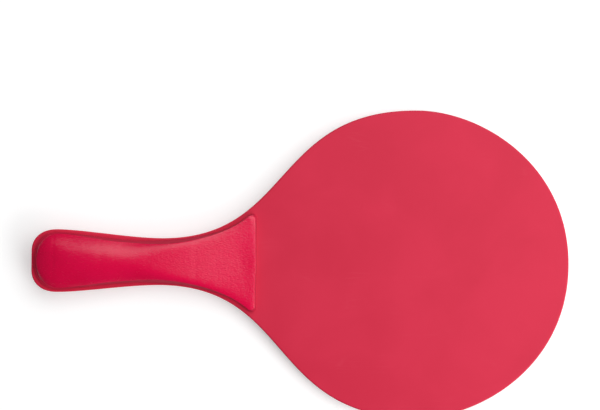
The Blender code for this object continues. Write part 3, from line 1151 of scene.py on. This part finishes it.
@dataclass
class Studio:
    """The white cove that the paddle lies in, its lamps and the camera above it."""

    camera_distance: float = 1.0
    view_width: float = 0.3683
    view_centre: tuple[float, float, float] = (-0.0004, 0.0357, 0.002)
    view_turn: float = 0.01046
    sensor_width: float = 36.0
    cove_radius: float = 2.6
    cove_round: float = 0.15
    cove_wall: float = 0.05
    cove_sides: int = 128
    cove_rings: int = 13
    cove_crease: float = 40.0
    tip_share: float = 0.9
    tip_lean: float = 0.04
    ambient: float = 0.07
    floor_colour: Colour = (0.72, 0.72, 0.72, 1.0)
    near_glow: float = 0.40
    glow_reach: Span = (0.30, 0.90)
    lamps: tuple[Softbox, ...] = (
        Softbox("window_softbox", 38.0, 37.0, 0.9, (1.17, 2.15), 2.2),
        Softbox("key_softbox", -45.0, 60.0, 1.0, (0.5, 0.6), 6.0),
    )

    def build(self, pieces: list[Piece]) -> None:
        """Set up the whole studio round the finished pieces.

        Args:
            pieces: The pieces that rest on the floor.
        """
        self.build_cove(pieces)
        self.build_world()
        for lamp in self.lamps:
            lamp.build()
        self.build_camera()
        bpy.context.scene.view_settings.view_transform = "Standard"

    def rest_plane(self, pieces: list[Piece]) -> tuple[Vector, float]:
        """Find the plane that the paddle rests on: its head's rim and its rear grip touch it.

        Args:
            pieces: The pieces that rest on the floor.

        Returns:
            A point of the plane and its slope along X.
        """
        points = np.vstack([[vertex.co[:] for vertex in piece.data.vertices] for piece in pieces])
        head = points[points[:, 0] > self.tip_share * points[:, 0].max()]
        tip = head[np.argmax(head[:, 0] * self.tip_lean - head[:, 2])]
        behind = points[points[:, 0] < 0.0]
        slope = np.max((tip[2] - behind[:, 2]) / (tip[0] - behind[:, 0]))
        return Vector(tip), float(slope)

    def build_cove(self, pieces: list[Piece]) -> None:
        """Build the floor with a wall that curves up all round, and lay it under the paddle.

        Args:
            pieces: The pieces that rest on the floor.
        """
        tip, slope = self.rest_plane(pieces)
        turn = np.linspace(0.0, 2.0 * math.pi, self.cove_sides, endpoint=False)
        ring = np.column_stack((np.cos(turn), np.sin(turn)))
        flat = self.cove_radius - self.cove_round
        loops = []
        for bend in quarter_turn(self.cove_rings):
            radius = flat + self.cove_round * math.sin(bend)
            loops.append(lifted(ring * radius, self.cove_round * (1.0 - math.cos(bend))))
        loops.append(lifted(ring * self.cove_radius, self.cove_round + self.cove_wall))
        lean = np.array(Matrix.Rotation(-math.atan(slope), 3, "Y"))
        drop = (0.0, 0.0, tip.z - slope * tip.x)
        loops = [loop @ lean.T + drop for loop in loops]
        model = LoopModel("studio_cove", loops[0])
        model.draw_out(loops[1:])
        model.back_to_first()
        bpy.ops.mesh.edge_face_add()
        cove = model.finish(self.cove_crease)
        cove.data.materials.append(self.cove_material())

    def cove_material(self) -> Material:
        """Build the white of the cove, which keeps the paddle's shadow near its middle.

        Returns:
            The material.
        """
        made = bpy.data.materials.new("white_cove")
        sheet = opened(made)
        path = sheet.add("ShaderNodeLightPath").outputs
        seen = sheet.maths("MAXIMUM", path["Is Camera Ray"], path["Is Glossy Ray"])
        seen = sheet.maths("MAXIMUM", seen, path["Is Transmission Ray"])
        reach = sheet.add("ShaderNodeVectorMath", {0: sheet.place()}, operation="LENGTH")
        glow = sheet.ease(reach.outputs["Value"], self.glow_reach, (self.near_glow, 1.0))
        paint = sheet.add("ShaderNodeBsdfDiffuse", {"Color": self.floor_colour})
        light = sheet.add("ShaderNodeEmission", {
            "Color": WHITE, "Strength": sheet.maths("MULTIPLY", seen, glow)})
        both = sheet.add("ShaderNodeAddShader", {0: paint.outputs[0], 1: light.outputs[0]})
        sheet.add("ShaderNodeOutputMaterial", {"Surface": both.outputs[0]})
        return made

    def build_world(self) -> None:
        """Fill the room with a little even light."""
        world = bpy.data.worlds.new("studio_air")
        sheet = opened(world)
        air = sheet.add("ShaderNodeBackground", {"Color": WHITE, "Strength": self.ambient})
        sheet.add("ShaderNodeOutputWorld", {"Surface": air.outputs[0]})
        bpy.context.scene.world = world

    def build_camera(self) -> None:
        """Hang the camera straight above the paddle, turned as the photograph's frame is."""
        place = Vector(self.view_centre) + Vector((0.0, 0.0, self.camera_distance))
        bpy.ops.object.camera_add(location=place, rotation=(0.0, 0.0, self.view_turn))
        camera = bpy.context.active_object
        camera.name = "overhead_camera"
        camera.data.sensor_fit = "HORIZONTAL"
        camera.data.sensor_width = self.sensor_width
        camera.data.lens = self.sensor_width * self.camera_distance / self.view_width
        bpy.context.scene.camera = camera


def main() -> None:
    """Build the paddle's pieces, dress them and set up the studio."""
    logging.basicConfig(level=logging.INFO, format="%(message)s")
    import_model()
    blade_low, blade_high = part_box("blade")
    grip_low, grip_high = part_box("front_grip")
    length, width, thickness = blade_high - blade_low
    blade_plan = BladePlan(length=length, head_width=width)
    grip_plan = GripPlan(blade=blade_plan, end_x=grip_low.x, fan_x=grip_high.x)
    seat = blade_high.z + SEAT_GAP
    effects = Effects()
    blade_finish = BladePlastic().material(effects, blade_high.z, grip_plan.fan_x)
    grip_finish = GripPlastic().material(effects, grip_plan.fan_x)
    blade = Blade(plan=blade_plan, thickness=thickness)
    moulding = blade.build()
    blade.dress(moulding, blade_finish)
    shell = GripShell(plan=grip_plan, seat=seat, rise=grip_high.z - seat)
    front = shell.build()
    rear = shell.turned_over(front)
    shell.dress(front, Side.FRONT, grip_finish)
    shell.dress(rear, Side.REAR, grip_finish)
    pieces = [moulding, front, rear]
    for piece in pieces:
        LOG.info("%s: %d faces", piece.name, len(piece.data.polygons))
    Studio().build(pieces)


if __name__ == "__main__":
    main()
